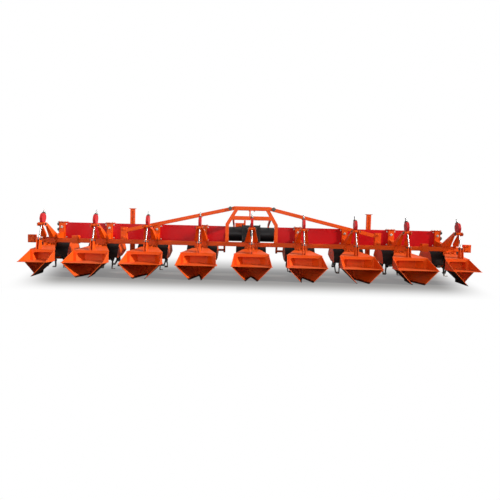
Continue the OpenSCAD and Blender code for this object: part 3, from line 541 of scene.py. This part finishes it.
coat(sprayed("hood_paint", **orange, over=painted_shade_sheets), "rotor_hoods")
rotor_low, rotor_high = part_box("rotor_5")
rotor_centre = ((rotor_low + rotor_high) / 2).yz
tine_black = black_paint("tine_black", colour=(0.016, 0.015, 0.015), gloss=0.5, grain=90.0, worn_from=0.185,
                         centre=rotor_centre)
tines, tine_stagger, tine_bolt_radii = 4, 22.5, (0.060, 0.082)
disc_places, disc_half_thick = ((0.080, 0.0), (0.170, 45.0)), 0.006
for number, middle in enumerate(unit_x, start=1):
    coat(tine_black, f"rotor_{number}")
    tine_bolts = []
    for side, stagger in ((1, 0.0), (-1, tine_stagger)):
        for place, first_turn in disc_places:
            x = middle + side * (place + disc_half_thick)
            for tine in range(tines):
                lean = math.radians(first_turn + tine * 360 / tines + stagger)
                outward = Vector((-math.sin(lean), math.cos(lean)))
                tine_bolts += [((x, *(rotor_centre + r * outward)), (side, 0, 0)) for r in tine_bolt_radii]
    bolts(f"tine_bolts_{number}", tine_bolts, across=0.015, material=dark_nut, slot="tine_black",
          body=f"rotor_{number}")

# Parking stands: flat posts in sleeves on the front beam, each with a foot on the floor.
# They are painted with the frame, and a pin through sleeve and post locks each one.

coat(orange_paint, "stand_sleeves", "stand_left", "stand_right")
sleeve_low, sleeve_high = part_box("stand_sleeves")
stand_low, stand_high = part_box("stand_right")
stand_mid = (stand_low + stand_high) / 2
sleeve_half = sleeve_high.x - stand_mid.x
sleeve_mid_z = (sleeve_low.z + sleeve_high.z) / 2
bolts("lock_pins", [((side * stand_mid.x + way * sleeve_half, stand_mid.y, sleeve_mid_z), (way, 0, 0))
                    for side in sides for way in sides],
      across=0.026, material=zinc, slot="bright_steel")

# Stage: a floor with a painted grey shadow round the machine that fades to white away from it, a warm key
# light from the right, a soft fill light from behind and a white room. The camera stands behind the machine,
# a little left of its middle, as the photograph was taken.

floor_half, floor_grey, painted_floor_light = 40.0, 0.11, 0.225
floor_corners = ((-1, -1), (1, -1), (1, 1), (-1, 1))
floor_mesh = bpy.data.meshes.new("floor")
floor_mesh.from_pydata([(x * floor_half, y * floor_half, 0) for x, y in floor_corners], [], [(0, 1, 2, 3)])
floor = bpy.data.objects.new("floor", floor_mesh)
bpy.context.scene.collection.objects.link(floor)
pale = Finish("pale_floor")
seen = pale.node("ShaderNodeLightPath", out="Is Camera Ray")
# Camera rays see the floor glow a little: painted light that lifts the grey of its painted shadow.
pale.set(base_color=(floor_grey, floor_grey, floor_grey), roughness=0.95, specular_ior_level=0.0,
         emission_color=seen * painted_floor_light, emission_strength=1.0)
white = pale.node("ShaderNodeEmission", None, {"Color": (1.0, 1.0, 1.0), "Strength": 1.0})
machine_end = cad_box[1][0]
beside_from, beside_to, beside_slant = machine_end - 0.60, machine_end + 0.05, 0.35
behind_from, behind_to = 0.80, 1.90
beyond_from, beyond_to = -0.20, 3.80
# Painted shadow: near the machine, in a patch that narrows towards the camera, the camera sees the grey
# floor; further out it sees white.
beside = pale.step(pale.axis("X").math("ABSOLUTE") - pale.axis("Y") * beside_slant, beside_from, beside_to)
behind = pale.step(pale.axis("Y") * -1.0, behind_from, behind_to)
beyond = pale.step(pale.axis("Y"), beyond_from, beyond_to)
painted_shadow_share = (1 - beside) * (1 - behind) * (1 - beyond)
faded = pale.node("ShaderNodeMixShader", None,
                  {0: (1 - painted_shadow_share) * seen, 1: Value(pale, pale.shader.outputs[0]), 2: white})
pale.feed(pale.tree.nodes["Material Output"].inputs["Surface"], faded)
floor_mesh.materials.append(pale.material)

room = bpy.data.worlds.new("room")
room.use_nodes = True
bpy.context.scene.world = room
sky = Tree(room.node_tree)
room_light = 0.42
to_lens, to_gloss, to_glass = (sky.node("ShaderNodeLightPath", out=f"Is {kind} Ray")
                               for kind in ("Camera", "Glossy", "Transmission"))
seen_white = (to_lens + to_gloss + to_glass).math("MINIMUM", 1.0)
backdrop = room.node_tree.nodes["Background"]
sky.feed(backdrop.inputs["Color"], (1.0, 1.0, 1.0))
sky.feed(backdrop.inputs["Strength"], seen_white * (1 - room_light) + room_light)


def lamp(name, aim_from, strength, spread, colour):
    """A distant lamp that shines from the direction aim_from to the machine."""
    light = bpy.data.lights.new(name, "SUN")
    light.energy = strength
    light.color = colour
    light.angle = math.radians(spread)
    holder = bpy.data.objects.new(name, light)
    holder.rotation_mode = "QUATERNION"
    holder.rotation_quaternion = Vector(aim_from).to_track_quat("Z", "Y")
    bpy.context.scene.collection.objects.link(holder)


lamp("key", aim_from=(0.88, -0.26, 0.42), strength=5.0, spread=5.0, colour=(1.0, 0.95, 0.86))
lamp("fill", aim_from=(-0.25, -0.95, 0.12), strength=1.25, spread=50.0, colour=(1.0, 1.0, 1.0))

frame_px, focal_px = 500.0, 400.0
eye = Vector((-0.109, -6.025, 0.688))
turn_right, tip_down, roll = math.radians(0.88), math.radians(2.89), math.radians(1.4)
ahead = Vector((math.sin(turn_right) * math.cos(tip_down), math.cos(turn_right) * math.cos(tip_down),
                -math.sin(tip_down)))
level = Vector((math.cos(turn_right), -math.sin(turn_right), 0.0))
plumb = level.cross(ahead)
right = level * math.cos(roll) + plumb * math.sin(roll)
up = plumb * math.cos(roll) - level * math.sin(roll)
lens = bpy.data.cameras.new("camera")
lens.sensor_width = 36.0
lens.lens = lens.sensor_width * focal_px / frame_px
camera = bpy.data.objects.new("camera", lens)
camera.matrix_world = Matrix.Translation(eye) @ Matrix((right, up, -ahead)).transposed().to_4x4()
bpy.context.scene.collection.objects.link(camera)
bpy.context.scene.camera = camera
bpy.context.scene.view_settings.view_transform = "Standard"
